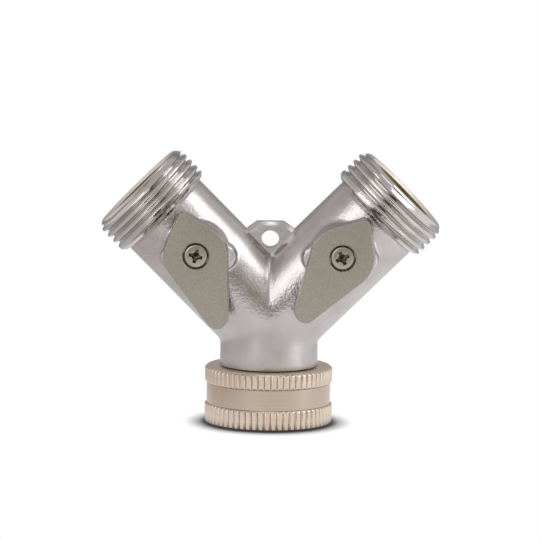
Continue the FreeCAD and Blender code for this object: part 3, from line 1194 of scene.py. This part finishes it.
def studioFloor():
    rest()
    bpy.ops.mesh.primitive_plane_add(size=studio["floorSize"] * mm,
                                     location=(0, 0, -studio["floorDrop"] * mm))
    floor = settle(newest("studioFloor"))
    material = bpy.data.materials.new("paperFloor")
    material.use_nodes = True
    tree = material.node_tree
    tree.nodes.clear()
    path, seen = seenRays(tree)
    # white paper, with the shadow close in under the object
    covered = addNode(tree, "ShaderNodeAmbientOcclusion",
                      {"samples": studio["shadowSamples"], "Distance": studio["shadowReach"] * mm})
    shade = rampOf(tree, covered.outputs["AO"], tint(studio["shadowColour"]), grey(1.0),
                   *studio["shadowRange"])
    place = addNode(tree, "ShaderNodeTexCoord").outputs["Object"]
    spot = addNode(tree, "ShaderNodeSeparateXYZ", Vector=place)
    mirrored = shade
    for axis, start, end, code in studio["paperDims"].values():
        faded = addNode(tree, "ShaderNodeMapRange", {"From Min": start * mm, "From Max": end * mm},
                        Value=spot.outputs[axis])
        dim = rampOf(tree, faded.outputs["Result"], grey(1.0), tint(code), 0.0, 1.0)
        both = addNode(tree, "ShaderNodeVectorMath", {"operation": "MULTIPLY"}, _0=mirrored, _1=dim)
        mirrored = both.outputs["Vector"]
    inMetal = addNode(tree, "ShaderNodeEmission", {"Strength": 1.0}, Color=mirrored)
    white = addNode(tree, "ShaderNodeEmission", {"Strength": 1.0}, Color=shade)
    shown = addNode(tree, "ShaderNodeMixShader", _0=path.outputs["Is Camera Ray"],
                    _1=inMetal.outputs[0], _2=white.outputs[0])
    paper = addNode(tree, "ShaderNodeBsdfDiffuse", {"Color": tint(studio["floorColour"])})
    mixed = addNode(tree, "ShaderNodeMixShader", _0=seen, _1=paper.outputs[0], _2=shown.outputs[0])
    addNode(tree, "ShaderNodeOutputMaterial", Surface=mixed.outputs[0])
    floor.data.materials.append(material)


def skyPatch(tree, way, direction, outer, inner, code):
    # white, turning to a colour inside a cone round the direction
    aim = Vector(direction).normalized()
    start, end = (math.cos(math.radians(angle)) for angle in (outer, inner))
    toward = addNode(tree, "ShaderNodeVectorMath",
                     {"operation": "DOT_PRODUCT", 1: tuple(aim)}, _0=way)
    inside = addNode(tree, "ShaderNodeMapRange",
                     {"From Min": start, "From Max": end, "interpolation_type": "SMOOTHSTEP"},
                     Value=toward.outputs["Value"])
    return rampOf(tree, inside.outputs["Result"], grey(1.0), tint(code), 0.0, 1.0)


def studioSky():
    world = bpy.data.worlds.new("studioSky")
    scene.world = world
    world.use_nodes = True
    tree = world.node_tree
    tree.nodes.clear()
    path, seen = seenRays(tree)
    way = addNode(tree, "ShaderNodeTexCoord").outputs["Generated"]
    room, *others = (skyPatch(tree, way, *patch) for patch in studio["room"].values())
    for patch in others:
        both = addNode(tree, "ShaderNodeVectorMath", {"operation": "MULTIPLY"}, _0=room, _1=patch)
        room = both.outputs["Vector"]
    plain = addNode(tree, "ShaderNodeBackground",
                    {"Color": grey(1.0), "Strength": studio["skyLevel"]})
    mirrored = addNode(tree, "ShaderNodeBackground", {"Strength": 1.0}, Color=room)
    white = addNode(tree, "ShaderNodeBackground", {"Color": grey(1.0), "Strength": 1.0})
    shown = addNode(tree, "ShaderNodeMixShader", _0=path.outputs["Is Camera Ray"],
                    _1=mirrored.outputs[0], _2=white.outputs[0])
    sky = addNode(tree, "ShaderNodeMixShader", _0=seen, _1=plain.outputs[0], _2=shown.outputs[0])
    addNode(tree, "ShaderNodeOutputWorld", Surface=sky.outputs[0])


def softBox(name, direction, distance, width, height, power, level):
    rest()
    goal = Vector((0, 0, level)) * mm
    place = goal + Vector(direction).normalized() * distance * mm
    bpy.ops.object.light_add(type="AREA", location=place)
    lamp = bpy.context.object
    lamp.name = name
    lamp.data.shape = "RECTANGLE"
    lamp.data.size = width * mm
    lamp.data.size_y = height * mm
    lamp.data.energy = power
    lamp.visible_camera = False
    lamp.rotation_euler = (goal - place).to_track_quat("-Z", "Y").to_euler()


def studioCamera():
    view = studio["camera"]
    camera = bpy.data.cameras.new("camera")
    camera.lens = view["lens"]
    camera.sensor_width = view["sensor"]
    camera.clip_start = view["clipStart"] * mm
    holder = bpy.data.objects.new("camera", camera)
    scene.collection.objects.link(holder)
    up, yaw = math.radians(view["elevation"]), math.radians(view["yaw"])
    back = Vector((math.sin(yaw) * math.cos(up), -math.cos(yaw) * math.cos(up), math.sin(up)))
    holder.location = (Vector(view["target"]) + back * view["distance"]) * mm
    holder.rotation_euler = back.to_track_quat("Z", "Y").to_euler()
    holder.rotation_euler.rotate_axis("Z", math.radians(view["roll"]))
    scene.camera = holder


studioFloor()
studioSky()
for name, settings in studio["lamps"].items():
    softBox(name, *settings)
studioCamera()
scene.view_settings.view_transform = "Standard"
print("studio ready")
